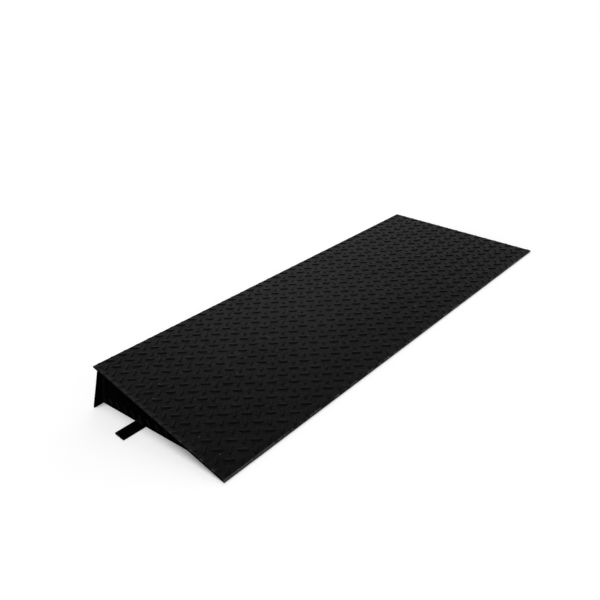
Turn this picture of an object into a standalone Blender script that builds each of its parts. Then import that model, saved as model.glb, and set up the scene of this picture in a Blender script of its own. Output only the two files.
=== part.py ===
"""Access ramp of welded steel tread plate, in metres, +Z up, with its toe towards -Y and its length along X.

The origin is on the floor, in the middle of the ramp's footprint. The ramp has no moving pieces.
"""

import math

import bmesh
import bpy

# Deck
DECK_LENGTH = 1.000  # along X, end to end
DECK_SLOPE_LENGTH = 0.420  # toe to rear edge, measured up the slope
RAMP_HEIGHT = 0.084  # floor to the plate's flat surface at the rear edge
PLATE_THICKNESS = 0.004  # of tread plate, without its raised lugs
LUG_HEIGHT = 0.0018  # how far the lugs stand out of tread plate

# Rear plate, square to the deck, with ends that slant outwards towards the floor
REAR_THICKNESS = 0.004
REAR_SETBACK = 0.010  # deck's rear edge to the rear plate's outer face, along the slope
REAR_END_INSET = 0.003  # deck's end to the rear plate's end, right under the deck
REAR_END_SLANT = 0.37  # reach outwards over depth under the deck

# Gussets under the ends, which lean outwards towards the floor
GUSSET_INSET = 0.016  # deck's end to the flat surface between the gusset's lugs, right under the deck
GUSSET_LEAN = 0.275  # reach outwards over depth under the deck

# Upright ribs between the gussets
RIB_THICKNESS = 0.004
RIB_COUNT = 3
TIP_HEIGHT = 0.004  # height of the blunt end where gussets and ribs run out towards the toe

# Cross strap on the floor
STRAP_WIDTH = 0.033
STRAP_THICKNESS = 0.004
STRAP_FROM_TOE = 0.249  # toe to the strap's near edge, along the floor
STRAP_REACH = 0.042  # past the deck's end, on each side

# Fits and edges
SEAT_GAP = 0.0003  # between pieces that are welded to each other
EDGE_BREAK = 0.0004  # bevel on every cut edge
EDGE_ANGLE = math.radians(30)  # a corner sharper than this is a cut edge
JOIN_DISTANCE = 0.00001  # between points of a face and its sides that are one point

# A piece of tread plate is a solid as thick as the plate with the lugs on it
TREAD_THICKNESS = PLATE_THICKNESS + LUG_HEIGHT

# What a leaning gusset measures along X, over its thickness
LEAN_STRETCH = math.hypot(1.0, GUSSET_LEAN)

# The plate's surface reaches RAMP_HEIGHT at the rear edge when the plate's lower toe edge is on the floor
SLOPE = math.asin(RAMP_HEIGHT / math.hypot(DECK_SLOPE_LENGTH, PLATE_THICKNESS)) - math.atan2(
    PLATE_THICKNESS, DECK_SLOPE_LENGTH
)

# Rotations that stand a flat outline up, with its second coordinate as its height
FACING_X = (math.pi / 2, 0.0, math.pi / 2)
FACING_Y = (math.pi / 2, 0.0, 0.0)

DECK_COLOUR = (0.013, 0.013, 0.0135, 1.0)
FRAME_COLOUR = (0.012, 0.012, 0.0125, 1.0)
STRAP_COLOUR = (0.011, 0.011, 0.0115, 1.0)
DECK_ROUGHNESS = 0.5  # worn smoother by wheels and feet
FRAME_ROUGHNESS = 0.6


def clear_scene():
    for obj in list(bpy.data.objects):
        bpy.data.objects.remove(obj, do_unlink=True)


def new_collection(name):
    collection = bpy.data.collections.new(name)
    bpy.context.scene.collection.children.link(collection)
    return collection


def paint(name, colour, roughness):
    material = bpy.data.materials.new(name)
    material.use_nodes = True
    shader = material.node_tree.nodes["Principled BSDF"]
    shader.inputs["Base Color"].default_value = colour
    shader.inputs["Roughness"].default_value = roughness
    shader.inputs["Metallic"].default_value = 0.0
    return material


def break_edges(obj):
    weld = obj.modifiers.new("join_caps", "WELD")
    weld.merge_threshold = JOIN_DISTANCE
    bevel = obj.modifiers.new("broken_edges", "BEVEL")
    bevel.width = EDGE_BREAK
    bevel.segments = 1
    bevel.limit_method = "ANGLE"
    bevel.angle_limit = EDGE_ANGLE


def flat_bar(name, size, centre, material, parent, collection):
    """A box of this size around this centre, in its parent's frame, with broken edges."""
    mesh = bpy.data.meshes.new(name)
    shape = bmesh.new()
    bmesh.ops.create_cube(shape, size=1.0)
    bmesh.ops.scale(shape, vec=size, verts=shape.verts)
    shape.to_mesh(mesh)
    shape.free()
    obj = bpy.data.objects.new(name, mesh)
    collection.objects.link(obj)
    obj.location = centre
    obj.parent = parent
    obj.data.materials.append(material)
    break_edges(obj)
    return obj


def standing_plate(name, outline, thickness, facing, centre, material, parent, collection):
    """A flat plate of this outline, a list of (distance along, height) points, around this centre."""
    curve = bpy.data.curves.new(name, "CURVE")
    curve.dimensions = "2D"
    curve.fill_mode = "BOTH"
    curve.extrude = thickness / 2
    spline = curve.splines.new("POLY")
    spline.points.add(len(outline) - 1)
    for point, (along, height) in zip(spline.points, outline):
        point.co = (along, height, 0.0, 1.0)
    spline.use_cyclic_u = True
    obj = bpy.data.objects.new(name, curve)
    collection.objects.link(obj)
    obj.location = centre
    obj.rotation_euler = facing
    obj.parent = parent
    curve.materials.append(material)
    break_edges(obj)
    return obj


def leaning_gusset(name, side, material, parent, collection):
    """The gusset under one end: side is -1 at the left and 1 at the right. Its lugs face outwards."""
    shape = bmesh.new()
    outer, inner = [], []
    for y, z in rib_outline():
        reach = DECK_LENGTH / 2 - GUSSET_INSET + GUSSET_LEAN * depth_under_deck(y, z)
        outer.append(shape.verts.new((side * (reach + LUG_HEIGHT * LEAN_STRETCH), y, z)))
        inner.append(shape.verts.new((side * (reach - PLATE_THICKNESS * LEAN_STRETCH), y, z)))
    shape.faces.new(outer)
    shape.faces.new(inner)
    for k in range(len(outer)):
        shape.faces.new((outer[k - 1], outer[k], inner[k], inner[k - 1]))
    bmesh.ops.recalc_face_normals(shape, faces=shape.faces)
    mesh = bpy.data.meshes.new(name)
    shape.to_mesh(mesh)
    shape.free()
    obj = bpy.data.objects.new(name, mesh)
    collection.objects.link(obj)
    obj.parent = parent
    obj.data.materials.append(material)
    break_edges(obj)
    return obj


def depth_under_deck(y, z):
    """Depth of a point under the deck's underside, square to it, with y and z from the toe."""
    return y * math.sin(SLOPE) - z * math.cos(SLOPE)


def seat_under_deck(along):
    """The point SEAT_GAP under the deck's underside, this far up the slope, as (y, z) from the toe."""
    y = along * math.cos(SLOPE) + SEAT_GAP * math.sin(SLOPE)
    z = along * math.sin(SLOPE) - SEAT_GAP * math.cos(SLOPE)
    return y, z


def foot_square_to_deck(along):
    """Where a line square to the deck, from this distance up the slope, meets the floor."""
    return along / math.cos(SLOPE), 0.0


def rear_foot_depth():
    """Depth of the rear plate's foot under the deck's underside, where its inner edge stands on the floor."""
    inner_face = DECK_SLOPE_LENGTH - REAR_SETBACK - REAR_THICKNESS
    return inner_face * math.tan(SLOPE)


def rear_plate_outline():
    """Outline of the rear plate seen from behind, as (along X, height over the deck's underside) points."""
    half_top = DECK_LENGTH / 2 - REAR_END_INSET
    foot_depth = rear_foot_depth()
    half_foot = half_top + REAR_END_SLANT * (foot_depth - SEAT_GAP)
    return [
        (-half_foot, -foot_depth),
        (half_foot, -foot_depth),
        (half_top, -SEAT_GAP),
        (-half_top, -SEAT_GAP),
    ]


def rib_outline():
    """Outline of a gusset or a rib: a wedge under the deck, in front of the rear plate and over the strap."""
    tip_y = (TIP_HEIGHT + SEAT_GAP / math.cos(SLOPE)) / math.tan(SLOPE)
    heel = DECK_SLOPE_LENGTH - REAR_SETBACK - REAR_THICKNESS - SEAT_GAP
    notch_front = STRAP_FROM_TOE - SEAT_GAP
    notch_rear = STRAP_FROM_TOE + STRAP_WIDTH + SEAT_GAP
    notch_top = STRAP_THICKNESS + SEAT_GAP
    return [
        (tip_y, 0.0),
        (notch_front, 0.0),
        (notch_front, notch_top),
        (notch_rear, notch_top),
        (notch_rear, 0.0),
        foot_square_to_deck(heel),
        seat_under_deck(heel),
        (tip_y, TIP_HEIGHT),
    ]


def footprint_middle():
    """Distance from the toe's lower edge to the middle of the ramp's footprint."""
    frontmost = -TREAD_THICKNESS * math.sin(SLOPE)
    deck_rear = DECK_SLOPE_LENGTH * math.cos(SLOPE)
    outer_face = DECK_SLOPE_LENGTH - REAR_SETBACK
    plate_rear = outer_face * math.cos(SLOPE) + rear_foot_depth() * math.sin(SLOPE)
    return (frontmost + max(deck_rear, plate_rear)) / 2


def build():
    clear_scene()
    ramp = new_collection("access_ramp")

    deck_paint = paint("deck_paint", DECK_COLOUR, DECK_ROUGHNESS)
    frame_paint = paint("frame_paint", FRAME_COLOUR, FRAME_ROUGHNESS)
    strap_paint = paint("strap_paint", STRAP_COLOUR, FRAME_ROUGHNESS)

    # The deck's lower toe edge lies on this empty's X axis
    toe = bpy.data.objects.new("toe", None)
    ramp.objects.link(toe)
    toe.location = (0.0, -footprint_middle(), 0.0)

    # This empty's Y axis runs up the slope, along the deck's underside
    incline = bpy.data.objects.new("incline", None)
    ramp.objects.link(incline)
    incline.rotation_euler = (SLOPE, 0.0, 0.0)
    incline.parent = toe

    flat_bar(
        "tread_plate",
        (DECK_LENGTH, DECK_SLOPE_LENGTH, TREAD_THICKNESS),
        (0.0, DECK_SLOPE_LENGTH / 2, TREAD_THICKNESS / 2),
        deck_paint,
        incline,
        ramp,
    )

    rear_middle = (0.0, DECK_SLOPE_LENGTH - REAR_SETBACK - REAR_THICKNESS / 2, 0.0)
    standing_plate(
        "rear_plate", rear_plate_outline(), REAR_THICKNESS, FACING_Y, rear_middle, frame_paint, incline, ramp
    )

    leaning_gusset("gusset_left", -1, frame_paint, toe, ramp)
    leaning_gusset("gusset_right", 1, frame_paint, toe, ramp)

    gusset_x = DECK_LENGTH / 2 - GUSSET_INSET
    rib_spacing = 2 * gusset_x / (RIB_COUNT + 1)
    for number in range(1, RIB_COUNT + 1):
        rib_place = (number * rib_spacing - gusset_x, 0.0, 0.0)
        standing_plate(
            f"rib_{number}", rib_outline(), RIB_THICKNESS, FACING_X, rib_place, frame_paint, toe, ramp
        )

    flat_bar(
        "cross_strap",
        (DECK_LENGTH + 2 * STRAP_REACH, STRAP_WIDTH, STRAP_THICKNESS),
        (0.0, STRAP_FROM_TOE + STRAP_WIDTH / 2, STRAP_THICKNESS / 2),
        strap_paint,
        toe,
        ramp,
    )


build()
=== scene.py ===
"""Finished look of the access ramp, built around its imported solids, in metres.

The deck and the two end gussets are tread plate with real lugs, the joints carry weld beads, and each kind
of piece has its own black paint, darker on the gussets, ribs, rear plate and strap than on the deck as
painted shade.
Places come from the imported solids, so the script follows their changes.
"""

import math
import random

import bmesh
import bpy
from mathutils import Matrix, Vector


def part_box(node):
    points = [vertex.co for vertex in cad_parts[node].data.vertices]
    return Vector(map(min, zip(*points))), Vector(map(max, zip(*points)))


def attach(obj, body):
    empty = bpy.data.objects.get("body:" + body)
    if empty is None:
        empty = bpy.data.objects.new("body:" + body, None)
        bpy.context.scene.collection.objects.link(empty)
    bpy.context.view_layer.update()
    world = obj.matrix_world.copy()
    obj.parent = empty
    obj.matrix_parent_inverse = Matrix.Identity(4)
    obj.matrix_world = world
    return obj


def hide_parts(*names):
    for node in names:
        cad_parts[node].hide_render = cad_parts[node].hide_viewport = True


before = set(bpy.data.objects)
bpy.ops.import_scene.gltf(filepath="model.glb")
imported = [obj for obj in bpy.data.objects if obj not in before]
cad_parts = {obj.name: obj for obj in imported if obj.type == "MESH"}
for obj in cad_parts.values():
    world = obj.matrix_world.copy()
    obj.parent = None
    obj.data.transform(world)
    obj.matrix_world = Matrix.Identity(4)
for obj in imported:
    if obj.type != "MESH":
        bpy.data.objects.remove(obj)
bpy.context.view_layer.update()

# Tread plate
PLATE_THICKNESS = 0.004
LUG_HEIGHT = 0.0018
LUG_LENGTH = 0.0195
LUG_WIDTH = 0.0062
# A lug's flank from its foot to its crest, as (distance in from the foot, height)
LUG_PROFILE = ((0.0, 0.0), (0.0007, 0.00135), (0.0021, LUG_HEIGHT), (LUG_WIDTH / 2, LUG_HEIGHT))
LUG_SHARP_RINGS = (0, 1, 2)  # of the profile: the foot, and the shoulder's two edges
LUG_BLUNTNESS = 2.4  # 2 gives an ellipse, and more a squarer end
LUG_TAPER = 0.6
LUG_STATIONS = 16  # points round a lug
LUG_TURN = math.radians(45)  # of both kinds of lug, one each way, from the ramp's length
CELL_BULGE = 0.0030  # how far a lug's own field of plate swells at its ends and draws in at its sides
PITCH_ALONG = 0.0282  # between two lugs of one kind, along the ramp
PITCH_UP = 0.0295  # the same, up the slope
DECK_FIRST_LUG = (0.0032, -0.0027)  # first lug's middle, from the deck's left end and its toe
GUSSET_FIRST_LUG = (0.006, 0.012)  # the same on a gusset, from its heel and the floor
GUSSET_PLAIN_EDGE = 0.009  # height over the floor under which no lug of a gusset has its middle
RIM_RADIUS = 0.0006  # round of the plate's upper edges
RIM_TURNS = tuple(map(math.radians, (30, 60, 90)))  # where its rings of points lie, from the top
RIM_SHARP_ANGLE = math.radians(40)  # an edge of the rim that turns by more than this is sharp
SHEARED_SHARE = 0.4  # what the shear leaves of a lug's height right at a cut edge
SHEARED_REACH = 0.0045  # how far in from a cut edge the shear has pressed the lugs
BACK_CHAMFER = 0.0004
TOE_FACING = -0.3  # a face of the deck whose normal has less than this up the slope is the toe's

# Distances at which two points are one: in general, between neighbouring cells, and along a cut
SAME_POINT = 1e-7
CELL_JOIN_DISTANCE = 2e-6
JOIN_DISTANCE = 0.00001

# Fit to the solids
SEAT_GAP = 0.0003

# Weld beads
WELD_LEG = 0.0040
WELD_LEG_RANGE = (0.93, 1.07)  # of a ripple's leg, as a share of the bead's
WELD_RIPPLE = 0.0026  # length of one ripple
WELD_RIPPLE_STEPS = 4
WELD_RIPPLE_DEPTH = 0.30
WELD_RIPPLE_SKEW = 0.6  # under 1, a ripple's crest lies nearer its start
WELD_RIPPLE_BOW = 0.55  # how far a ripple's middle runs ahead of its ends, in ripples
WELD_CREST_RANGE = (0.96, 1.04)  # by which its crown varies from step to step
WELD_BULGE = 0.24  # crown of a bead, as a share of its leg
WELD_POINTS = 7  # points across a bead's face
WELD_SINK = 0.0005  # how far a bead's back runs into the plates
WELD_END_SIZE = 0.35  # share of its leg that a bead starts and ends with
WELD_END_RIPPLES = 1.5  # ripples over which it grows to its full size
WELD_SHARP_ANGLE = math.radians(55)
STITCH_LENGTH = 0.038
STITCH_ROOM = (0.075, 0.028)  # from the toe and from the rear plate to the stitches under the deck
RIB_STITCH_SHIFT = -0.03  # up the slope, of the stitches on a rib's right side from those on its left
REAR_STITCH_ROOM = 0.02  # from the deck's ends to the stitches on the rear plate
GUSSET_STITCHES = 4
RIB_STITCHES = 3
REAR_STITCHES = 9
STRAP_BEAD_ROOM = (0.001, 0.003)  # from the strap's front and rear edges to the bead on it
INNER_HEEL_ROOM = (0.006, 0.009)  # from the floor and from the deck to a bead down the rear plate
OUTER_HEEL_ROOM = (0.004, 0.006)  # the same outside a gusset
GUSSET_WELD_SEEDS = {"gusset_left": 11, "gusset_right": 12}
RIB_WELD_SEED = 20  # plus the rib's number
REAR_WELD_SEED = 31

# Photograph's camera, as it was solved for the 600 pixel frame
PHOTO_SIDE = 600
FOCAL_PIXELS = 529.8
CAMERA_PLACE = (-0.7729, -0.8010, 0.5184)
CAMERA_YAW = math.radians(39.379)
CAMERA_PITCH = math.radians(22.224)
CAMERA_ROLL = math.radians(-11.935)
SENSOR_WIDTH = 36.0
NEAR_CLIP = 0.01

# Studio. Azimuths run from +Y towards +X
FLOOR_HALF_SIDE = 60.0
FLOOR_DROP = 0.0002  # floor under the ramp's feet, so that no two faces lie in one plane
FLOOR_COLOUR = (0.97, 0.97, 0.97, 1.0)
FLOOR_LIFT = 0.16  # what the floor shows over the light that falls on it, so that it reads as white
KEY_STRENGTH = 1.75
KEY_AZIMUTH = math.radians(-125)  # where the light stands
KEY_ELEVATION = math.radians(88)
KEY_SPREAD = math.radians(42)
# Sky, as (elevation in degrees, level)
SKY_STOPS = ((0, 1.0), (14, 1.0), (29, 0.80), (36, 0.4), (50, 0.4), (62, 0.12), (90, 0.12))
SOFTBOX_AZIMUTH = math.radians(42)
SOFTBOX_SPREAD = (math.radians(8), math.radians(22))  # to each side, where it begins and ends to fade
SOFTBOX_BOTTOM = (math.radians(29), math.radians(36))  # elevations between which it fades
SOFTBOX_TOP = (math.radians(54), math.radians(45))
SOFTBOX_LEVEL = 1.4
WHITE_BAND = (math.radians(14), math.radians(22))  # elevations between which the white at the horizon fades
BACKLIGHT_AZIMUTH = math.radians(40)  # middle of the studio's lighter side
BACKLIGHT_SPREAD = (math.radians(26), math.radians(60))  # from there, where that side begins and ends to fade
FRONT_LEVEL = 0.4  # over the white band on the other sides, as a share of the lighter side

# Black paints, as linear greys, with their roughness and specular level
DECK_BLACK = 0.0026
DECK_ROUGHNESS = 0.42
DECK_SPECULAR = 0.061
EDGE_BLACK = 0.0016
EDGE_ROUGHNESS = 0.65
EDGE_SPECULAR = 0.0
# The gusset, frame and strap blacks are darker than the deck's: painted shade for the shadow these parts lie
# in
GUSSET_SHADED_BLACK = 0.0010
GUSSET_ROUGHNESS = 0.7
GUSSET_SPECULAR = 0.0
FRAME_SHADED_BLACK = 0.0010
FRAME_ROUGHNESS = 0.6
FRAME_WORN_ROUGHNESS = 0.45
FRAME_SPECULAR = 0.006
STRAP_SHADED_BLACK = 0.0010
STRAP_SPECULAR = 0.005
WELD_BLACK = 0.0016
WELD_ROUGHNESS = 0.55
WELD_SPECULAR = 0.02
REAR_COAT = (0.22, 0.36)  # least and most coat on the rear plate's outer face
REAR_COAT_ROUGHNESS = 0.35
REAR_COAT_EDGE = (0.0006, 0.0001)  # depths under that face between which the coat begins

# Relief of the paints
PEEL_DEPTH = 0.00012
SHEAR_DEPTH = 0.00015
WELD_PEEL_DEPTH = 0.0001
DECK_UNEVENNESS = 18.0  # height of the tread plate's slow waves, as a multiple of the paint's peel
GRIT_SHARE = 0.25  # height of the paint's grit, the same

# Wear and dirt, and painted highlights and sheen, as linear greys
CREST_GREY = 0.005  # thin paint on the deck's lugs
CUT_LUG_HIGHLIGHT_GREY = 0.045  # painted highlights on the lugs that the shear cut through at the deck's ends
END_LINE_HIGHLIGHT_GREY = 0.0110  # painted highlight: a light line just inside the deck's ends
WALKED_AND_SHEEN_GREY = 0.0050  # lighter patch where the deck is walked on: wear, and painted sheen
DECK_LINE_GREY = 0.016  # fine lines from wheels and feet
SPECK_GREY = 0.25
# Painted highlight on a gusset's lug crests
GUSSET_CREST_HIGHLIGHT_GREY = 0.0025
GUSSET_FOOT_HIGHLIGHT_GREY = 0.009  # painted highlight on a gusset's lowest lugs, which catch light off the floor
FRAME_WEAR_GREY = 0.008
STRAP_WEAR_GREY = 0.02
BARE_STEEL_GREY = 0.10
DUST = (0.060, 0.057, 0.052, 1.0)

# How metallic bare steel is, and how strong the fine lines and the dust are
BARE_STEEL_METALLIC = 0.7
DECK_LINES = 0.35
DECK_DUST = 0.10
GUSSET_DUST = 0.04
FRAME_LINES = 0.2
FRAME_DUST = 0.03

# Noises, as (scale per metre, detail, roughness)
BROAD_CLOUDS = (7.0, 3.0)
SMALL_CLOUDS = (55.0, 4.0, 0.6)
PEEL = (420.0, 1.0)
GRIT = (1900.0, 2.0)
SLOW_WAVES = (110.0, 2.0, 0.6)
CHIPS = (240.0, 4.0, 0.65)
LINE_PATCHES = (11.0, 2.0)
DUST_PATCHES = (14.0, 4.0, 0.6)
DUST_GRAINS = (1300.0, 2.0)
TRAFFIC = (26.0, 3.0)
RAGGED_EDGE = (9.0, 4.0, 0.6)
BARE_SPOTS = (90.0, 4.0, 0.6)
GUSSET_PATCHES = (60.0, 3.0)
COAT_PATCHES = (18.0, 3.0)

# Patterns drawn out along one axis, as scales per metre
LINE_SCALES = (620.0, 16.0, 620.0)
SHEAR_SCALES = (1500.0, 1500.0, 160.0)

# Where the wear and the painted highlights and sheen are. The deck's own coordinates start in the middle of
# its toe's lower edge
CUT_LUG_HIGHLIGHT_REACH = (0.004, 0.001)  # in from an end, where the painted highlights on the cut lugs begin to show and show fully
END_LINE_HIGHLIGHT_INSET = 0.0040  # an end to the painted highlight line's middle
END_LINE_HIGHLIGHT_REACH = (0.0050, 0.001)  # from there to where the line ends and where it is full
END_LINE_HIGHLIGHT_RISE = (0.05, 0.25)  # distances from the toe between which the line grows strong
WALKED_SHEEN_MIDDLE = (-0.08, 0.28, 0.0)
WALKED_SHEEN_REACH = (0.34, 0.20)  # along the ramp and up the slope
WALKED_SHEEN_FADE = (1.15, 0.1)  # shares of that reach at which the patch is gone and is full
BARE_TOE_REACH = (0.0026, 0.0006)  # in from the toe, where bare steel begins and is full
BARE_TOE_HEIGHT = (0.0030, 0.0037)  # over the plate's back, the same
BARE_CORNER = (0.03, 0.17)  # from the left end, where the toe is rubbed most and where least
BARE_COVER = (0.28, 0.03)  # how much there
SPECK_SCALE = 34.0  # cells per metre
SPECK_SHARE = 0.05  # of the cells
SPECK_SIZE = (0.028, 0.012)  # in cells, where a speck ends and where it is full
GUSSET_HIGHLIGHT_HEIGHTS = (0.024, 0.016)  # heights over the floor at which the painted highlight on the lugs is dim and bright


def node_points(node):
    return [vertex.co.copy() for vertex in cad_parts[node].data.vertices]


def facing_normal(node, direction):
    """Normal of the node's largest face that looks this way."""
    direction = Vector(direction)
    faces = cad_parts[node].data.polygons
    return max(faces, key=lambda face: face.area * max(0.0, face.normal.dot(direction))).normal.copy()


def extent(points, axis):
    reach = [point.dot(axis) for point in points]
    return min(reach), max(reach)


# The deck's own directions: along the ramp, up the slope, and out of the deck
ALONG = Vector((1.0, 0.0, 0.0))
DECK_NORMAL = facing_normal("tread_plate", (0, 0, 1))
UP_SLOPE = DECK_NORMAL.cross(ALONG).normalized()
SLOPE = math.atan2(UP_SLOPE.z, UP_SLOPE.y)

# Extents of the deck along these directions, and of the rear plate up the slope
deck_x = extent(node_points("tread_plate"), ALONG)
deck_s = extent(node_points("tread_plate"), UP_SLOPE)
deck_n = extent(node_points("tread_plate"), DECK_NORMAL)
rear_s = extent(node_points("rear_plate"), UP_SLOPE)
DECK_LENGTH = deck_x[1] - deck_x[0]
DECK_SLOPE_LENGTH = deck_s[1] - deck_s[0]
TOE = UP_SLOPE * deck_s[0] + DECK_NORMAL * deck_n[0]  # middle of the toe's lower edge
REAR_INNER = rear_s[0] - deck_s[0]  # toe to the rear plate's inner face, up the slope
REAR_OUTER = rear_s[1] - deck_s[0]
REAR_DEPTH = REAR_INNER * math.tan(SLOPE)  # of its inner face, from the deck's underside to the floor


def depth_under_deck(point):
    """Depth of a point under the deck's underside, square to it."""
    return (TOE - point).dot(DECK_NORMAL)


def new_object(name, mesh):
    obj = bpy.data.objects.new(name, mesh)
    bpy.context.scene.collection.objects.link(obj)
    return obj


def mesh_from(shape, name):
    mesh = bpy.data.meshes.new(name)
    shape.to_mesh(mesh)
    shape.free()
    return mesh


def lug_half_width(along):
    """Half width of a lug at this share of its half length."""
    return LUG_WIDTH / 2 * max(0.0, 1 - abs(along) ** LUG_BLUNTNESS) ** LUG_TAPER


def lug_ring(inset, height):
    """Points round a lug, drawn in by this much from its foot. At its half width they lie on its crest."""
    half = LUG_LENGTH / 2
    shrink = max(0.0, 1 - inset / (LUG_WIDTH / 2))
    ring = []
    for k in range(LUG_STATIONS):
        turn = 2 * math.pi * k / LUG_STATIONS
        along = math.cos(turn)
        side = lug_half_width(along) * shrink * (1 if k <= LUG_STATIONS // 2 else -1)
        ring.append(Vector((along * (half - inset), side, height)))
    return ring


def cell_ring(turn):
    """Points round the field of plate that one lug has to itself, starting where its long axis leaves it.

    The field is a rhombus whose sides swell where a lug's end points at them, into the next field's sides.
    """
    half_u, half_v = PITCH_ALONG / 2, PITCH_UP / 2
    corners = [Vector(p) for p in ((half_u, 0, 0), (0, half_v, 0), (-half_u, 0, 0), (0, -half_v, 0))]
    side_steps = LUG_STATIONS // 4
    ring = []
    for i in range(4):
        start, end = corners[i], corners[(i + 1) % 4]
        out = (start + end).normalized()
        swell = CELL_BULGE if (i % 2 == 0) == (turn > 0) else -CELL_BULGE
        for k in range(side_steps):
            share = k / side_steps
            ring.append(start.lerp(end, share) + out * swell * math.sin(math.pi * share))
    first = round(turn / (2 * math.pi) * LUG_STATIONS)
    return ring[first:] + ring[:first]


def lug_cell(turn):
    """One lug turned this way and the plate round it, whose back is at height 0."""
    shape = bmesh.new()
    rotation = Matrix.Rotation(turn, 3, "Z")
    rings = [cell_ring(turn)]
    for inset, height in LUG_PROFILE:
        rings.append([rotation @ point for point in lug_ring(inset, height)])
    surface = Vector((0, 0, PLATE_THICKNESS))
    rows = [[shape.verts.new(point + surface) for point in ring] for ring in rings]
    for outer, inner in zip(rows, rows[1:]):
        for k in range(LUG_STATIONS):
            after = (k + 1) % LUG_STATIONS
            shape.faces.new((outer[k], outer[after], inner[after], inner[k]))
    for ring in LUG_SHARP_RINGS:
        row = rows[1 + ring]
        for k in range(LUG_STATIONS):
            shape.edges.get((row[k - 1], row[k])).smooth = False
    bmesh.ops.remove_doubles(shape, verts=shape.verts, dist=SAME_POINT)
    return mesh_from(shape, "lug_cell")


def outline_edges(outline):
    return list(zip(outline, outline[1:] + outline[:1]))


def outward(start, end):
    """Outward normal of an edge of an outline that runs anticlockwise."""
    run = (end - start).normalized()
    return Vector((run.y, -run.x))


def offset_outline(outline, distance):
    """The outline moved outwards by this distance, with mitred corners."""
    moved = []
    for before, here, after in zip(outline[-1:] + outline[:-1], outline, outline[1:] + outline[:1]):
        first, second = outward(before, here), outward(here, after)
        moved.append(here + (first + second) * (distance / (1 + first.dot(second))))
    return moved


def inside(point, outline):
    """True if the point is inside the outline, by counting the edges to its right."""
    crossings = 0
    for start, end in outline_edges(outline):
        if (start.y > point.y) != (end.y > point.y):
            at = start.x + (point.y - start.y) / (end.y - start.y) * (end.x - start.x)
            crossings += at > point.x
    return crossings % 2 == 1


def nearest_on_edge(point, start, end):
    run = end - start
    share = (point - start).dot(run) / run.length_squared
    return start + run * min(1.0, max(0.0, share))


def press_cut_edges(shape, outline):
    """Presses the lugs of a cut sheet down towards its outline, as a shear does."""
    for vertex in shape.verts:
        height = vertex.co.z - PLATE_THICKNESS
        if height > JOIN_DISTANCE:
            point = vertex.co.to_2d()
            distance = min((point - nearest_on_edge(point, *edge)).length for edge in outline_edges(outline))
            share = min(1.0, distance / SHEARED_REACH)
            vertex.co.z = PLATE_THICKNESS + height * (SHEARED_SHARE + (1 - SHEARED_SHARE) * share)


def rim_direction(point, outline):
    """Which way the rim goes out from a point on the outline: square to its edge, or along a mitre."""
    found = []
    for start, end in outline_edges(outline):
        if (point - nearest_on_edge(point, start, end)).length < 2 * JOIN_DISTANCE:
            found.append(outward(start, end))
    if len(found) == 1:
        return found[0]
    return (found[0] + found[1]) / (1 + found[0].dot(found[1]))


def lug_sheet(low, high, first_lug, plain_below):
    """Cells of tread plate side by side over this rectangle, with plain ones under this height."""
    shape = bmesh.new()
    columns = math.ceil((high.x - low.x) / PITCH_ALONG) + 3
    rows = math.ceil((high.y - low.y) / PITCH_UP) + 3
    first_column = math.floor((low.x - first_lug[0]) / PITCH_ALONG) - 1
    first_row = math.floor((low.y - first_lug[1]) / PITCH_UP) - 1
    for kind, turn in enumerate((-LUG_TURN, LUG_TURN)):
        lugged = lug_cell(turn)
        plain = lugged.copy()
        for vertex in plain.vertices:
            vertex.co.z = PLATE_THICKNESS
        for row in range(first_row, first_row + rows):
            for column in range(first_column, first_column + columns):
                x = first_lug[0] + (column + kind / 2) * PITCH_ALONG
                y = first_lug[1] + (row + kind / 2) * PITCH_UP
                cell = plain if y < plain_below else lugged
                cell.transform(Matrix.Translation((x, y, 0)))
                shape.from_mesh(cell)
                cell.transform(Matrix.Translation((-x, -y, 0)))
        bpy.data.meshes.remove(lugged)
        bpy.data.meshes.remove(plain)
    bmesh.ops.remove_doubles(shape, verts=shape.verts, dist=CELL_JOIN_DISTANCE)
    return shape


def add_rim(shape, outline):
    """Closes a cut sheet of lugs: a round upper edge, a straight side, a chamfer and a flat back."""
    edge = [e for e in shape.edges if e.is_boundary]
    origin = {v: (v.co.copy(), rim_direction(v.co.to_2d(), outline)) for e in edge for v in e.verts}
    # Each step is (out from the clipped edge, down from the surface, height where that is fixed)
    steps = [(RIM_RADIUS * math.sin(turn), RIM_RADIUS * (1 - math.cos(turn)), None) for turn in RIM_TURNS]
    steps += [(RIM_RADIUS, 0, BACK_CHAMFER), (RIM_RADIUS - BACK_CHAMFER, 0, 0.0)]
    for out, down, height in steps:
        grown = bmesh.ops.extrude_edge_only(shape, edges=edge)["geom"]
        fresh = {v for v in grown if isinstance(v, bmesh.types.BMVert)}
        edge = [e for e in grown if isinstance(e, bmesh.types.BMEdge) and e.is_boundary]
        before, origin = origin, {}
        for v in fresh:
            source = next(e.other_vert(v) for e in v.link_edges if e.other_vert(v) not in fresh)
            place, way = before[source]
            origin[v] = (place, way)
            z = place.z - down if height is None else height
            v.co = (place.x + way.x * out, place.y + way.y * out, z)
    bmesh.ops.contextual_create(shape, geom=edge)
    bmesh.ops.recalc_face_normals(shape, faces=shape.faces)


def clip_to(shape, outline):
    """Cuts a sheet of lugs along the outline's edges, and deletes what lies outside."""
    for start, end in outline_edges(outline):
        everything = shape.verts[:] + shape.edges[:] + shape.faces[:]
        out = outward(start, end).to_3d()
        bmesh.ops.bisect_plane(shape, geom=everything, dist=SAME_POINT, plane_co=start.to_3d(), plane_no=out)
    outside = [face for face in shape.faces if not inside(face.calc_center_median().to_2d(), outline)]
    bmesh.ops.delete(shape, geom=outside, context="FACES")
    bmesh.ops.remove_doubles(shape, verts=shape.verts, dist=JOIN_DISTANCE)


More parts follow.
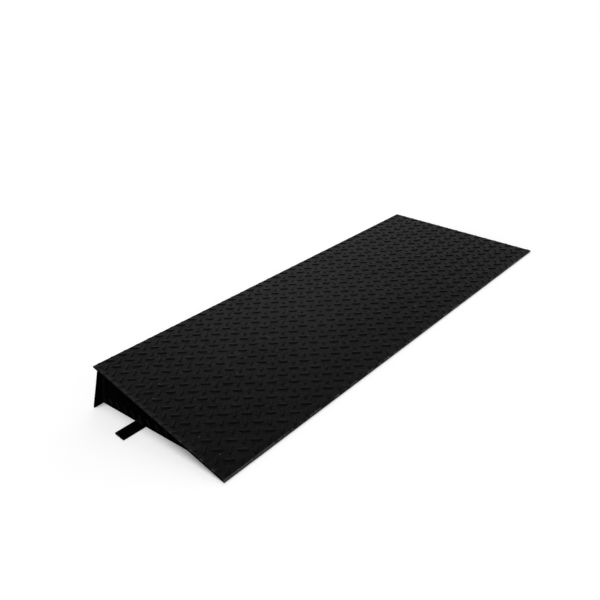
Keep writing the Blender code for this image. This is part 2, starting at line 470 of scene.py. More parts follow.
def lugged_plate(name, outline, first_lug, plain_below=-math.inf):
    """A piece of tread plate with this outline, with its back at height 0.

    Its face has the first material and its cut edges have the second.
    """
    clipped = offset_outline(outline, -RIM_RADIUS)
    low = Vector((min(p.x for p in outline), min(p.y for p in outline)))
    high = Vector((max(p.x for p in outline), max(p.y for p in outline)))
    shape = lug_sheet(low, high, first_lug, plain_below)
    clip_to(shape, clipped)
    press_cut_edges(shape, clipped)
    lugged_face = set(shape.faces)
    add_rim(shape, clipped)
    for face in shape.faces:
        face.smooth = True
        face.material_index = 0 if face in lugged_face else 1
    for edge in shape.edges:
        if not lugged_face.issuperset(edge.link_faces) and edge.calc_face_angle() > RIM_SHARP_ANGLE:
            edge.smooth = False
    obj = new_object(name, mesh_from(shape, name))
    normals = obj.modifiers.new("face_weighted_normals", "WEIGHTED_NORMAL")
    normals.mode = "FACE_AREA"
    normals.keep_sharp = True
    return obj


def make_deck():
    half = DECK_LENGTH / 2
    corners = ((-half, 0), (half, 0), (half, DECK_SLOPE_LENGTH), (-half, DECK_SLOPE_LENGTH))
    outline = [Vector(corner) for corner in corners]
    first = (DECK_FIRST_LUG[0] - half, DECK_FIRST_LUG[1])
    deck = lugged_plate("deck_tread_plate", outline, first)
    # The toe wears the deck's own paint, because wheels rub it bare
    for face in deck.data.polygons:
        if face.normal.y < TOE_FACING:
            face.material_index = 0
    axes = Matrix((ALONG, UP_SLOPE, DECK_NORMAL)).transposed().to_4x4()
    deck.matrix_world = Matrix.Translation(TOE) @ axes
    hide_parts("tread_plate")
    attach(deck, "root")
    return deck


def gusset_outline():
    """Outline of a gusset as (distance from the toe, height) points: a wedge with a notch over the strap."""
    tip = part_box("gusset_left")[0].y - TOE.y
    strap_low, strap_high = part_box("cross_strap")
    heel = REAR_INNER - SEAT_GAP
    heel_top = TOE + UP_SLOPE * heel - DECK_NORMAL * SEAT_GAP
    notch_front = strap_low.y - TOE.y - SEAT_GAP
    notch_rear = strap_high.y - TOE.y + SEAT_GAP
    notch_top = strap_high.z + SEAT_GAP
    return [
        Vector((tip, 0)),
        Vector((notch_front, 0)),
        Vector((notch_front, notch_top)),
        Vector((notch_rear, notch_top)),
        Vector((notch_rear, 0)),
        Vector((heel / math.cos(SLOPE), 0)),
        Vector((heel_top.y - TOE.y, heel_top.z)),
        Vector((tip, tip * math.tan(SLOPE) - SEAT_GAP / math.cos(SLOPE))),
    ]


def gusset_lean(node, side):
    """How far a gusset reaches outwards for each metre of depth, and where its inner face meets the deck."""
    normal = facing_normal(node, (-side, 0, 0))
    lean = math.hypot(normal.y, normal.z) / abs(normal.x)
    return lean, min(side * point.x - lean * depth_under_deck(point) for point in node_points(node))


def make_gusset(node, side):
    """An end gusset, whose lugs face outwards: side is -1 at the left and 1 at the right."""
    lean, inner = gusset_lean(node, side)
    outline = [Vector((side * point.x, point.y)) for point in gusset_outline()]
    if side < 0:
        outline.reverse()
    heel = side * REAR_INNER / math.cos(SLOPE)
    first = (heel - side * GUSSET_FIRST_LUG[0], GUSSET_FIRST_LUG[1])
    gusset = lugged_plate(f"{node}_tread_plate", outline, first, GUSSET_PLAIN_EDGE)
    for vertex in gusset.data.vertices:
        along, height, out = vertex.co
        depth = abs(along) * math.sin(SLOPE) - height * math.cos(SLOPE)
        vertex.co.z = out * math.hypot(1, lean) + lean * depth
    gusset.data.update()
    axes = Matrix(((0, side, 0), (0, 0, 1), (side, 0, 0))).transposed().to_4x4()
    gusset.matrix_world = Matrix.Translation((side * inner, TOE.y, 0)) @ axes
    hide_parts(node)
    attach(gusset, "root")
    return gusset


def weld_section(corner, across, up, run, leg, crest):
    """Points round a bead at one place: over its face from foot to foot, and back through the plates."""
    out = (across + up).normalized()
    ring = [corner + across * leg - up * WELD_SINK]
    for k in range(WELD_POINTS):
        share = k / (WELD_POINTS - 1)
        middle = math.sin(math.pi * share)
        flat = corner + across * leg * (1 - share) + up * leg * share
        crown = out * leg * WELD_BULGE * crest * middle
        ring.append(flat + crown + run * WELD_RIPPLE * WELD_RIPPLE_BOW * middle)
    ring.append(corner + up * leg - across * WELD_SINK)
    ring.append(corner - (across + up) * WELD_SINK)
    return ring


def add_bead(shape, dice, start, end, across, up):
    """Adds a fillet bead from start to end, in the corner from which two plates run across and up."""
    run = (end - start).normalized()
    ripples = max(3, round((end - start).length / WELD_RIPPLE))
    legs = [WELD_LEG * dice.uniform(*WELD_LEG_RANGE) for _ in range(ripples + 2)]
    rings = []
    for step in range(ripples * WELD_RIPPLE_STEPS + 1):
        place = step / WELD_RIPPLE_STEPS
        number = int(place)
        phase = place - number
        leg = legs[number] + (legs[number + 1] - legs[number]) * phase
        grown = math.sqrt(min(place, ripples - place) / WELD_END_RIPPLES)
        taper = min(1.0, WELD_END_SIZE + (1 - WELD_END_SIZE) * grown)
        crest = 1 - WELD_RIPPLE_DEPTH * (1 - math.sin(math.pi * phase ** WELD_RIPPLE_SKEW))
        corner = start + (end - start) * (place / ripples)
        ring = weld_section(corner, across, up, run, leg * taper, crest * dice.uniform(*WELD_CREST_RANGE))
        rings.append([shape.verts.new(point) for point in ring])
    for first, second in zip(rings, rings[1:]):
        for k in range(len(first)):
            after = (k + 1) % len(first)
            shape.faces.new((first[k], first[after], second[after], second[k]))
    shape.faces.new(rings[0])
    shape.faces.new(rings[-1])


def weld(name, beads, seed, lean=0.0):
    """All the beads of a joint as one object. A bead is (start, end, across, up), on a plate that leans."""
    dice = random.Random(seed)
    shape = bmesh.new()
    for start, end, across, up in beads:
        add_bead(shape, dice, start, end, across, up)
    for point in shape.verts:
        point.co.x += lean * depth_under_deck(point.co)
    bmesh.ops.recalc_face_normals(shape, faces=shape.faces)
    mesh = mesh_from(shape, name)
    mesh.shade_smooth()
    mesh.set_sharp_from_angle(angle=WELD_SHARP_ANGLE)
    obj = new_object(name, mesh)
    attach(obj, "root")
    return obj


def under_deck(x, along, depth=0.0):
    """A point at this x and this far up the slope, this deep under the deck's underside."""
    return TOE + ALONG * x + UP_SLOPE * along - DECK_NORMAL * depth


def stitches(first, last, count):
    """Starts and ends of this many evenly spread stitches between two places."""
    step = (last - first - STITCH_LENGTH) / (count - 1)
    return [(first + step * k, first + step * k + STITCH_LENGTH) for k in range(count)]


def strap_bead(x, side):
    """The bead that joins the strap to a plate whose face is at x and looks to this side."""
    strap_low, strap_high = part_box("cross_strap")
    start = Vector((x, strap_low.y + STRAP_BEAD_ROOM[0], strap_high.z))
    end = Vector((x, strap_high.y - STRAP_BEAD_ROOM[1], strap_high.z))
    return start, end, ALONG * side, Vector((0, 0, 1))


def heel_bead(x, side, room):
    """The bead down the rear plate, with this room over the floor and under the deck."""
    foot = under_deck(x, REAR_INNER, REAR_DEPTH - room[0])
    return foot, under_deck(x, REAR_INNER, room[1]), ALONG * side, -UP_SLOPE


def stiffener_beads(x, side, count, shift=0.0):
    """Beads on one face of a gusset or rib: over the strap, along the deck and down the rear plate."""
    beads = [strap_bead(x, side)]
    for start, end in stitches(STITCH_ROOM[0] + shift, REAR_INNER - STITCH_ROOM[1] + shift, count):
        beads.append((under_deck(x, start), under_deck(x, end), ALONG * side, -DECK_NORMAL))
    beads.append(heel_bead(x, side, INNER_HEEL_ROOM))
    return beads


def make_welds():
    made = []
    for node, side in (("gusset_left", -1), ("gusset_right", 1)):
        lean, reach = gusset_lean(node, side)
        inner = side * reach
        outer = side * (reach + PLATE_THICKNESS * math.hypot(1, lean))
        beads = stiffener_beads(inner, -side, GUSSET_STITCHES)
        beads.append(heel_bead(outer, side, OUTER_HEEL_ROOM))
        beads.append(strap_bead(outer, side))
        made.append(weld(f"{node}_welds", beads, GUSSET_WELD_SEEDS[node], side * lean))
    for number in (1, 2, 3):
        low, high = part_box(f"rib_{number}")
        beads = stiffener_beads(low.x, -1, RIB_STITCHES)
        beads += stiffener_beads(high.x, 1, RIB_STITCHES, RIB_STITCH_SHIFT)
        made.append(weld(f"rib_{number}_welds", beads, RIB_WELD_SEED + number))
    rear = []
    last = DECK_LENGTH / 2 - REAR_STITCH_ROOM
    for start, end in stitches(-last, last, REAR_STITCHES):
        rear.append((under_deck(start, REAR_OUTER), under_deck(end, REAR_OUTER), UP_SLOPE, -DECK_NORMAL))
    made.append(weld("rear_plate_welds", rear, REAR_WELD_SEED))
    return made


def grey(level):
    return (level, level, level, 1.0)


def add_node(tree, kind, inputs=None, **settings):
    """Adds a node with these settings, and fills its inputs with values or with links from sockets."""
    made = tree.nodes.new(kind)
    for name, value in settings.items():
        setattr(made, name, value)
    for key, value in (inputs or {}).items():
        if isinstance(value, bpy.types.NodeSocket):
            tree.links.new(value, made.inputs[key])
        else:
            made.inputs[key].default_value = value
    return made


def maths(tree, operation, first, second=0.0):
    return add_node(tree, "ShaderNodeMath", {0: first, 1: second}, operation=operation).outputs[0]


def vector_maths(tree, operation, first, second=(0.0, 0.0, 0.0)):
    """Does this with one or two vectors. A dot product and a length come out as a value."""
    made = add_node(tree, "ShaderNodeVectorMath", {0: first, 1: second}, operation=operation)
    return made.outputs["Value" if operation in ("DOT_PRODUCT", "LENGTH") else "Vector"]


def smooth(tree, value, low, high, to_low=0.0, to_high=1.0):
    """The value carried smoothly from one range to another, and held at its ends."""
    ranges = {"Value": value, "From Min": low, "From Max": high, "To Min": to_low, "To Max": to_high}
    return add_node(tree, "ShaderNodeMapRange", ranges, interpolation_type="SMOOTHSTEP").outputs["Result"]


def noise(tree, place, scale, detail=2.0, roughness=0.5):
    given = {"Vector": place, "Scale": scale, "Detail": detail, "Roughness": roughness}
    return add_node(tree, "ShaderNodeTexNoise", given).outputs["Fac"]


def mix_colour(tree, share, first, second):
    return add_node(tree, "ShaderNodeMix", {0: share, 6: first, 7: second}, data_type="RGBA").outputs[2]


def mix_value(tree, share, first, second):
    return add_node(tree, "ShaderNodeMix", {0: share, 2: first, 3: second}, data_type="FLOAT").outputs[0]


def split_vector(tree, vector):
    return add_node(tree, "ShaderNodeSeparateXYZ", {0: vector}).outputs


def new_group(name, inputs, outputs):
    """A node group with its inputs, as (name, kind, default), and its outputs, as (name, kind)."""
    group = bpy.data.node_groups.new(name, "ShaderNodeTree")
    for label, kind, default in inputs:
        socket = group.interface.new_socket(label, in_out="INPUT", socket_type=f"NodeSocket{kind}")
        if default is not None:
            socket.default_value = default
    for label, kind in outputs:
        group.interface.new_socket(label, in_out="OUTPUT", socket_type=f"NodeSocket{kind}")
    return group, group.nodes.new("NodeGroupInput").outputs, group.nodes.new("NodeGroupOutput").inputs


def make_paint_film():
    """Sprayed paint: its colour clouds a little, its gloss varies, and its surface is like orange peel.

    Unevenness adds slow waves of the plate under it to the height.
    """
    inputs = (
        ("Place", "Vector", None),
        ("Colour", "Color", grey(0.01)),
        ("Clouding", "Float", 0.2),
        ("Roughness", "Float", 0.5),
        ("Gloss Variation", "Float", 0.08),
        ("Peel", "Float", 1.0),
        ("Unevenness", "Float", 0.0),
    )
    outputs = (("Colour", "Color"), ("Roughness", "Float"), ("Height", "Float"))
    group, given, result = new_group("paint_film", inputs, outputs)
    place = given["Place"]
    broad = maths(group, "SUBTRACT", noise(group, place, *BROAD_CLOUDS), 0.5)
    patchy = maths(group, "SUBTRACT", noise(group, place, *SMALL_CLOUDS), 0.5)
    clouds = maths(group, "MULTIPLY", maths(group, "ADD", broad, patchy), 2.5)
    level = maths(group, "ADD", maths(group, "MULTIPLY", clouds, given["Clouding"]), 1.0)
    given_colour = {0: given["Colour"], "Scale": level}
    tinted = add_node(group, "ShaderNodeVectorMath", given_colour, operation="SCALE")
    group.links.new(tinted.outputs["Vector"], result["Colour"])
    gloss = maths(group, "MULTIPLY", maths(group, "MULTIPLY", patchy, 3.0), given["Gloss Variation"])
    group.links.new(maths(group, "ADD", given["Roughness"], gloss), result["Roughness"])
    peel = maths(group, "MULTIPLY", noise(group, place, *PEEL), given["Peel"])
    grit = maths(group, "MULTIPLY", noise(group, place, *GRIT), GRIT_SHARE)
    waves = maths(group, "MULTIPLY", noise(group, place, *SLOW_WAVES), given["Unevenness"])
    group.links.new(maths(group, "ADD", maths(group, "ADD", peel, grit), waves), result["Height"])
    return group


def make_worn_edges():
    """Edges where the paint has rubbed thin: full at a corner, and broken up along it."""
    inputs = (("Place", "Vector", None), ("Width", "Float", 0.001), ("Cover", "Float", 0.5))
    group, given, result = new_group("worn_edges", inputs, (("Mask", "Float"),))
    rounded = add_node(group, "ShaderNodeBevel", {"Radius": given["Width"]}, samples=6).outputs[0]
    true_normal = add_node(group, "ShaderNodeNewGeometry").outputs["Normal"]
    corner = smooth(group, vector_maths(group, "DOT_PRODUCT", rounded, true_normal), 0.99, 0.86)
    spots = maths(group, "ADD", noise(group, given["Place"], *CHIPS), given["Cover"])
    group.links.new(maths(group, "MULTIPLY", corner, smooth(group, spots, 0.92, 1.12)), result["Mask"])
    return group


def make_rubbed_lines():
    """Fine lines that wheels and feet leave, running the way the ramp is crossed."""
    group, given, result = new_group("rubbed_lines", (("Place", "Vector", None),), (("Mask", "Float"),))
    drawn_out = vector_maths(group, "MULTIPLY", given["Place"], LINE_SCALES)
    lines = smooth(group, noise(group, drawn_out, 1.0, 2.0, 0.6), 0.62, 0.74)
    where = smooth(group, noise(group, given["Place"], *LINE_PATCHES), 0.45, 0.65)
    group.links.new(maths(group, "MULTIPLY", lines, where), result["Mask"])
    return group


def make_settled_dust():
    """Dust that lies in loose patches on what looks up."""
    inputs = (("Place", "Vector", None), ("Amount", "Float", 0.1))
    group, given, result = new_group("settled_dust", inputs, (("Mask", "Float"),))
    normal = add_node(group, "ShaderNodeNewGeometry").outputs["Normal"]
    upward = smooth(group, split_vector(group, normal)["Z"], 0.6, 0.98)
    patches = smooth(group, noise(group, given["Place"], *DUST_PATCHES), 0.42, 0.72)
    grains = smooth(group, noise(group, given["Place"], *DUST_GRAINS), 0.35, 0.7)
    lying = maths(group, "MULTIPLY", maths(group, "MULTIPLY", upward, patches), grains)
    group.links.new(maths(group, "MULTIPLY", lying, given["Amount"]), result["Mask"])
    return group


PAINT_FILM = make_paint_film()
WORN_EDGES = make_worn_edges()
RUBBED_LINES = make_rubbed_lines()
SETTLED_DUST = make_settled_dust()


class Finish:
    """A material under construction: its tree, its shader and the object's own coordinates."""

    def __init__(self, name, roughness, specular):
        self.material = bpy.data.materials.new(name)
        self.material.use_nodes = True
        self.tree = self.material.node_tree
        self.shader = self.tree.nodes["Principled BSDF"]
        self.shader.inputs["Roughness"].default_value = roughness
        self.shader.inputs["Specular IOR Level"].default_value = specular
        self.place = add_node(self.tree, "ShaderNodeTexCoord").outputs["Object"]

    def group(self, node_tree, **inputs):
        made = add_node(self.tree, "ShaderNodeGroup", node_tree=node_tree)
        self.tree.links.new(self.place, made.inputs["Place"])
        for label, value in inputs.items():
            made.inputs[label.replace("_", " ")].default_value = value
        return made.outputs

    def film(self, black, clouding, roughness, gloss_variation=0.1, **inputs):
        """What the paint film puts out in this black."""
        inputs.update(Colour=grey(black), Clouding=clouding, Roughness=roughness)
        return self.group(PAINT_FILM, Gloss_Variation=gloss_variation, **inputs)

    def set(self, label, socket):
        self.tree.links.new(socket, self.shader.inputs[label])

    def bump(self, height, distance, strength=0.5):
        given = {"Height": height, "Distance": distance, "Strength": strength}
        self.set("Normal", add_node(self.tree, "ShaderNodeBump", given).outputs["Normal"])


def height_over_plate(tree, height, low, high):
    """Mask that rises between two heights over the plate, given as shares of a lug's height."""
    return smooth(tree, height, PLATE_THICKNESS + low * LUG_HEIGHT, PLATE_THICKNESS + high * LUG_HEIGHT)


def thinned_crests(tree, place, split):
    """Mask of the deck's lugs where traffic has thinned their paint, more in some patches."""
    traffic = smooth(tree, noise(tree, place, *TRAFFIC), 0.35, 0.7, 0.15, 0.7)
    return maths(tree, "MULTIPLY", height_over_plate(tree, split["Z"], 0.6, 1), traffic)


def cut_lug_highlights(tree, split):
    """Mask of painted highlights on the lugs that the shear cut through at the deck's two ends."""
    half = DECK_LENGTH / 2
    from_middle = maths(tree, "ABSOLUTE", split["X"])
    at_end = smooth(tree, from_middle, half - CUT_LUG_HIGHLIGHT_REACH[0], half - CUT_LUG_HIGHLIGHT_REACH[1])
    return maths(tree, "MULTIPLY", at_end, height_over_plate(tree, split["Z"], 0.1, 0.35))


def end_line_highlights(tree, split):
    """Mask of the painted highlight line just inside the deck's two ends, which fades towards the toe."""
    from_middle = maths(tree, "ABSOLUTE", split["X"])
    off_line = maths(tree, "SUBTRACT", from_middle, DECK_LENGTH / 2 - END_LINE_HIGHLIGHT_INSET)
    line = smooth(tree, maths(tree, "ABSOLUTE", off_line), *END_LINE_HIGHLIGHT_REACH)
    return maths(tree, "MULTIPLY", line, smooth(tree, split["Y"], *END_LINE_HIGHLIGHT_RISE, 0.2, 1.0))


def walked_and_sheen_patch(tree, place):
    """Mask of the deck's walked-on middle, lighter as wear and as painted sheen, with a ragged edge."""
    off_middle = vector_maths(tree, "SUBTRACT", place, WALKED_SHEEN_MIDDLE)
    off_middle = vector_maths(tree, "MULTIPLY", off_middle, (1 / WALKED_SHEEN_REACH[0], 1 / WALKED_SHEEN_REACH[1], 0))
    ragged = smooth(tree, noise(tree, place, *RAGGED_EDGE), 0.25, 0.75, -0.35, 0.35)
    return smooth(tree, maths(tree, "ADD", vector_maths(tree, "LENGTH", off_middle), ragged), *WALKED_SHEEN_FADE)


def bare_toe(tree, place, split):
    """Mask of bare steel along the toe's upper edge, most of it towards the left corner."""
    near_edge = smooth(tree, split["Y"], *BARE_TOE_REACH)
    near_top = smooth(tree, split["Z"], *BARE_TOE_HEIGHT)
    left = -DECK_LENGTH / 2
    cover = smooth(tree, split["X"], BARE_CORNER[0] + left, BARE_CORNER[1] + left, *BARE_COVER)
    broken = smooth(tree, maths(tree, "ADD", noise(tree, place, *BARE_SPOTS), cover), 0.50, 0.66)
    return maths(tree, "MULTIPLY", maths(tree, "MULTIPLY", near_edge, near_top), broken)


def light_specks(tree, place):
    """Mask of a light speck in the middle of a few of a pattern's cells."""
    given = {"Vector": place, "Scale": SPECK_SCALE}
    cells = add_node(tree, "ShaderNodeTexVoronoi", given, voronoi_dimensions="2D").outputs
    chosen = add_node(tree, "ShaderNodeSeparateColor", {0: cells["Color"]}).outputs[0]
    close = smooth(tree, cells["Distance"], *SPECK_SIZE)
    return maths(tree, "MULTIPLY", close, maths(tree, "GREATER_THAN", chosen, 1 - SPECK_SHARE))


def deck_paint_with_painted_light():
    """Black paint on the deck: thin on the lugs, lighter where it is walked on, partly as painted sheen, with
    painted highlights along its ends and on its cut lugs, and bare along the toe.
    """
    made = Finish("deck_paint_with_painted_light", DECK_ROUGHNESS, DECK_SPECULAR)
    tree, place = made.tree, made.place
    split = split_vector(tree, place)
    film = made.film(DECK_BLACK, 0.2, DECK_ROUGHNESS, Unevenness=DECK_UNEVENNESS)
    thin = thinned_crests(tree, place, split)
    bare = bare_toe(tree, place, split)
    lines = maths(tree, "MULTIPLY", made.group(RUBBED_LINES)["Mask"], DECK_LINES)
    dust = made.group(SETTLED_DUST, Amount=DECK_DUST)["Mask"]

    colour = mix_colour(tree, thin, film["Colour"], grey(CREST_GREY))
    # Painted highlights on the cut lugs at the deck's ends
    colour = mix_colour(tree, cut_lug_highlights(tree, split), colour, grey(CUT_LUG_HIGHLIGHT_GREY))
    # Painted highlight along the deck's ends
    colour = mix_colour(tree, end_line_highlights(tree, split), colour, grey(END_LINE_HIGHLIGHT_GREY))
    # Walked-on patch: wear, and painted sheen
    colour = mix_colour(tree, walked_and_sheen_patch(tree, place), colour, grey(WALKED_AND_SHEEN_GREY))
    colour = mix_colour(tree, lines, colour, grey(DECK_LINE_GREY))
    colour = mix_colour(tree, dust, colour, DUST)
    colour = mix_colour(tree, bare, colour, grey(BARE_STEEL_GREY))
    colour = mix_colour(tree, light_specks(tree, place), colour, grey(SPECK_GREY))

    made.set("Base Color", colour)
    rubbed = maths(tree, "MAXIMUM", thin, bare)
    made.set("Roughness", mix_value(tree, rubbed, film["Roughness"], DECK_ROUGHNESS))
    made.set("Metallic", maths(tree, "MULTIPLY", bare, BARE_STEEL_METALLIC))
    made.bump(film["Height"], PEEL_DEPTH)
    return made.material


def cut_edge_finish():
    """Paint over a sheared edge, with the shear's fine upright lines under it."""
    made = Finish("cut_edge_finish", EDGE_ROUGHNESS, EDGE_SPECULAR)
    tree = made.tree
    film = made.film(EDGE_BLACK, 0.25, EDGE_ROUGHNESS)
    shear = noise(tree, vector_maths(tree, "MULTIPLY", made.place, SHEAR_SCALES), 1.0, 2.0)
    made.set("Base Color", film["Colour"])
    made.set("Roughness", film["Roughness"])
    made.bump(maths(tree, "ADD", film["Height"], shear), SHEAR_DEPTH)
    return made.material


def height_over_gusset(tree, split):
    """Height over a gusset's back, square to the ramp's end, in the coordinates of the gusset's own mesh."""
    lean = gusset_lean("gusset_left", -1)[0]
    from_toe = maths(tree, "MULTIPLY", maths(tree, "ABSOLUTE", split["X"]), lean * math.sin(SLOPE))
    from_floor = maths(tree, "MULTIPLY", split["Y"], lean * math.cos(SLOPE))
    return maths(tree, "ADD", maths(tree, "SUBTRACT", split["Z"], from_toe), from_floor)


def gusset_paint_with_painted_light():
    """Dull black paint on a gusset, darker than the deck's as painted shade, with painted highlights on its
    lugs, brightest on the lowest ones, which catch light off the floor.
    """
    made = Finish("gusset_paint_with_painted_light", GUSSET_ROUGHNESS, GUSSET_SPECULAR)
    tree, place = made.tree, made.place
    split = split_vector(tree, place)
    film = made.film(GUSSET_SHADED_BLACK, 0.3, GUSSET_ROUGHNESS)
    # Painted highlights on the lug crests, brightest low down, over the gusset's shaded black
    crest = height_over_plate(tree, height_over_gusset(tree, split), 0.5, 1)
    patchy = smooth(tree, noise(tree, place, *GUSSET_PATCHES), 0.3, 0.6, 0.5, 1.0)
    lowest_lugs_highlight = smooth(tree, split["Y"], *GUSSET_HIGHLIGHT_HEIGHTS)
    highlight_tone = mix_colour(tree, lowest_lugs_highlight, grey(GUSSET_CREST_HIGHLIGHT_GREY), grey(GUSSET_FOOT_HIGHLIGHT_GREY))
    colour = mix_colour(tree, maths(tree, "MULTIPLY", crest, patchy), film["Colour"], highlight_tone)
    dust = made.group(SETTLED_DUST, Amount=GUSSET_DUST)["Mask"]
    made.set("Base Color", mix_colour(tree, dust, colour, DUST))
    made.set("Roughness", film["Roughness"])
    made.bump(film["Height"], PEEL_DEPTH)
    return made.material


def shaded_frame_paint(name, black, specular, wear_grey):
    """Black paint on plain plate, in a black darker than the deck's as painted shade, thin along its edges,
    with dust on what looks up.
    """
    made = Finish(name, FRAME_ROUGHNESS, specular)
    tree = made.tree
    film = made.film(black, 0.25, FRAME_ROUGHNESS)
    worn = made.group(WORN_EDGES, Width=0.0008, Cover=0.5)["Mask"]
    dust = made.group(SETTLED_DUST, Amount=FRAME_DUST)["Mask"]
    lines = maths(tree, "MULTIPLY", made.group(RUBBED_LINES)["Mask"], FRAME_LINES)
    colour = mix_colour(tree, worn, film["Colour"], grey(wear_grey))
    colour = mix_colour(tree, dust, colour, DUST)
    made.set("Base Color", mix_colour(tree, lines, colour, grey(wear_grey)))
    made.set("Roughness", mix_value(tree, worn, film["Roughness"], FRAME_WORN_ROUGHNESS))
    made.bump(film["Height"], PEEL_DEPTH)
    return made


def rib_paint_with_painted_shade():
    return shaded_frame_paint("frame_paint_with_painted_shade", FRAME_SHADED_BLACK, FRAME_SPECULAR, FRAME_WEAR_GREY).material


def strap_paint_with_painted_shade():
    return shaded_frame_paint("strap_paint_with_painted_shade", STRAP_SHADED_BLACK, STRAP_SPECULAR, STRAP_WEAR_GREY).material


def rear_plate_paint_with_painted_shade():
    """The ribs' paint, darker than the deck's as painted shade, with a smoother and glossier outer face."""
    made = shaded_frame_paint("rear_plate_paint_with_painted_shade", FRAME_SHADED_BLACK, FRAME_SPECULAR, FRAME_WEAR_GREY)
    tree, place = made.tree, made.place
    under_face = maths(tree, "SUBTRACT", rear_s[1], vector_maths(tree, "DOT_PRODUCT", place, UP_SLOPE))
    gloss = smooth(tree, noise(tree, place, *COAT_PATCHES), 0.3, 0.7, *REAR_COAT)
    made.set("Coat Weight", maths(tree, "MULTIPLY", smooth(tree, under_face, *REAR_COAT_EDGE), gloss))
    made.shader.inputs["Coat Roughness"].default_value = REAR_COAT_ROUGHNESS
    return made.material


def weld_paint_finish():
    """Paint over the weld beads, smoother than on the plates."""
    made = Finish("weld_paint_finish", WELD_ROUGHNESS, WELD_SPECULAR)
    film = made.film(WELD_BLACK, 0.3, WELD_ROUGHNESS, 0.12, Peel=0.6)
    made.set("Base Color", film["Colour"])
    made.set("Roughness", film["Roughness"])
    made.bump(film["Height"], WELD_PEEL_DEPTH)
    return made.material


def paint(obj, *materials):
    """Puts these materials in the object's slots. Clearing those first would give every face the first."""
    slots = obj.data.materials
    for k, material in enumerate(materials):
        if k < len(slots):
            slots[k] = material
        else:
            slots.append(material)


def make_floor():
    """A plain white floor. Camera, gloss and glass alike see it a little lighter than it is lit."""
    shape = bmesh.new()
    bmesh.ops.create_grid(shape, x_segments=1, y_segments=1, size=FLOOR_HALF_SIDE)
    floor = new_object("floor", mesh_from(shape, "floor"))
    floor.location = (0, 0, -FLOOR_DROP)
    material = bpy.data.materials.new("white_floor")
    material.use_nodes = True
    tree = material.node_tree
    shader = tree.nodes["Principled BSDF"]
    shader.inputs["Base Color"].default_value = FLOOR_COLOUR
    shader.inputs["Roughness"].default_value = 1.0
    shader.inputs["Specular IOR Level"].default_value = 0.0
    shader.inputs["Emission Color"].default_value = grey(1.0)
    rays = add_node(tree, "ShaderNodeLightPath").outputs
    seen = maths(tree, "MAXIMUM", rays["Is Camera Ray"], rays["Is Glossy Ray"])
    seen = maths(tree, "MAXIMUM", seen, rays["Is Transmission Ray"])
    tree.links.new(maths(tree, "MULTIPLY", seen, FLOOR_LIFT), shader.inputs["Emission Strength"])
    paint(floor, material)


def towards(azimuth, elevation):
    """Direction at this azimuth, from +Y towards +X, and this elevation."""
    level = math.cos(elevation)
    return Vector((math.sin(azimuth) * level, math.cos(azimuth) * level, math.sin(elevation)))


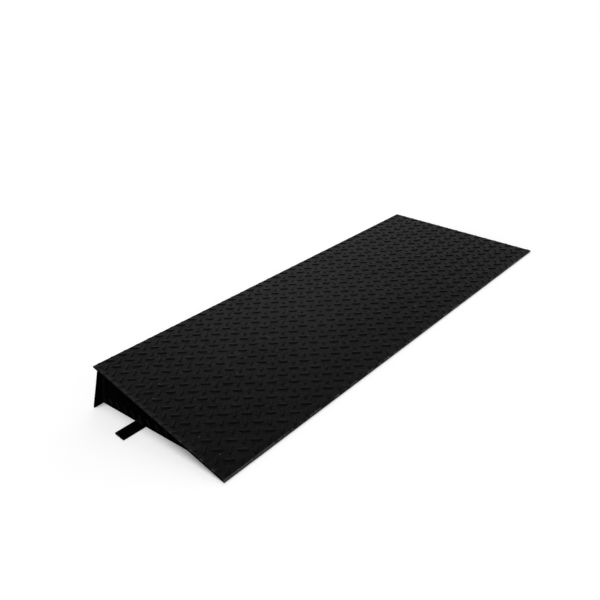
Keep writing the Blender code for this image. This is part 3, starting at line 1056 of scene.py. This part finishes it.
def make_world():
    """A studio that is white round the horizon and dim overhead, with a softbox behind the ramp."""
    world = bpy.data.worlds.new("studio")
    bpy.context.scene.world = world
    world.use_nodes = True
    tree = world.node_tree
    direction = add_node(tree, "ShaderNodeTexCoord").outputs["Generated"]
    height = split_vector(tree, direction)["Z"]
    level_way = vector_maths(tree, "NORMALIZE", vector_maths(tree, "MULTIPLY", direction, (1, 1, 0)))

    def round_to(azimuth, spread, low, high):
        """Goes from high to low as the direction turns away from this azimuth."""
        alike = vector_maths(tree, "DOT_PRODUCT", level_way, towards(azimuth, 0))
        return smooth(tree, alike, math.cos(spread[1]), math.cos(spread[0]), low, high)

    def up_to(elevations):
        return smooth(tree, height, math.sin(elevations[0]), math.sin(elevations[1]))

    levels = add_node(tree, "ShaderNodeValToRGB", {0: height})
    stops = levels.color_ramp.elements
    for elevation, _ in SKY_STOPS[1:-1]:
        stops.new(math.sin(math.radians(elevation)))
    for stop, (_, level) in zip(stops, SKY_STOPS):
        stop.color = grey(level)
    lighter = round_to(BACKLIGHT_AZIMUTH, BACKLIGHT_SPREAD, FRONT_LEVEL, 1.0)
    sky = maths(tree, "MULTIPLY", levels.outputs["Color"], mix_value(tree, up_to(WHITE_BAND), 1.0, lighter))
    tall = maths(tree, "MULTIPLY", up_to(SOFTBOX_BOTTOM), up_to(SOFTBOX_TOP))
    softbox = maths(tree, "MULTIPLY", round_to(SOFTBOX_AZIMUTH, SOFTBOX_SPREAD, 0.0, SOFTBOX_LEVEL), tall)
    tree.links.new(maths(tree, "ADD", sky, softbox), tree.nodes["Background"].inputs["Color"])


def make_key():
    """A soft light from almost straight above, which doesn't show in the gloss."""
    lamp = bpy.data.lights.new("key", "SUN")
    lamp.energy = KEY_STRENGTH
    lamp.angle = KEY_SPREAD
    key = new_object("key", lamp)
    key.visible_glossy = False
    key.rotation_mode = "QUATERNION"
    key.rotation_quaternion = towards(KEY_AZIMUTH, KEY_ELEVATION).to_track_quat("Z", "Y")


def make_camera():
    lens = bpy.data.cameras.new("camera")
    lens.sensor_width = SENSOR_WIDTH
    lens.lens = FOCAL_PIXELS / PHOTO_SIDE * SENSOR_WIDTH
    lens.clip_start = NEAR_CLIP
    lens.clip_end = 2 * FLOOR_HALF_SIDE
    forward = towards(CAMERA_YAW, -CAMERA_PITCH)
    right = Vector((math.cos(CAMERA_YAW), -math.sin(CAMERA_YAW), 0))
    up = right.cross(forward)
    rolled_right = right * math.cos(CAMERA_ROLL) + up * math.sin(CAMERA_ROLL)
    rolled_up = up * math.cos(CAMERA_ROLL) - right * math.sin(CAMERA_ROLL)
    camera = new_object("camera", lens)
    turned = Matrix((rolled_right, rolled_up, -forward)).transposed().to_4x4()
    camera.matrix_world = Matrix.Translation(CAMERA_PLACE) @ turned
    bpy.context.scene.camera = camera


deck_paint = deck_paint_with_painted_light()
edge_paint = cut_edge_finish()
gusset_paint = gusset_paint_with_painted_light()
rib_paint = rib_paint_with_painted_shade()
weld_paint = weld_paint_finish()

paint(make_deck(), deck_paint, edge_paint)
for node, side in (("gusset_left", -1), ("gusset_right", 1)):
    paint(make_gusset(node, side), gusset_paint, edge_paint)
paint(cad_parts["rear_plate"], rear_plate_paint_with_painted_shade())
for node in ("rib_1", "rib_2", "rib_3"):
    paint(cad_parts[node], rib_paint)
paint(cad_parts["cross_strap"], strap_paint_with_painted_shade())
for seam in make_welds():
    paint(seam, weld_paint)

make_floor()
make_world()
make_key()
make_camera()
bpy.context.scene.view_settings.view_transform = "Standard"
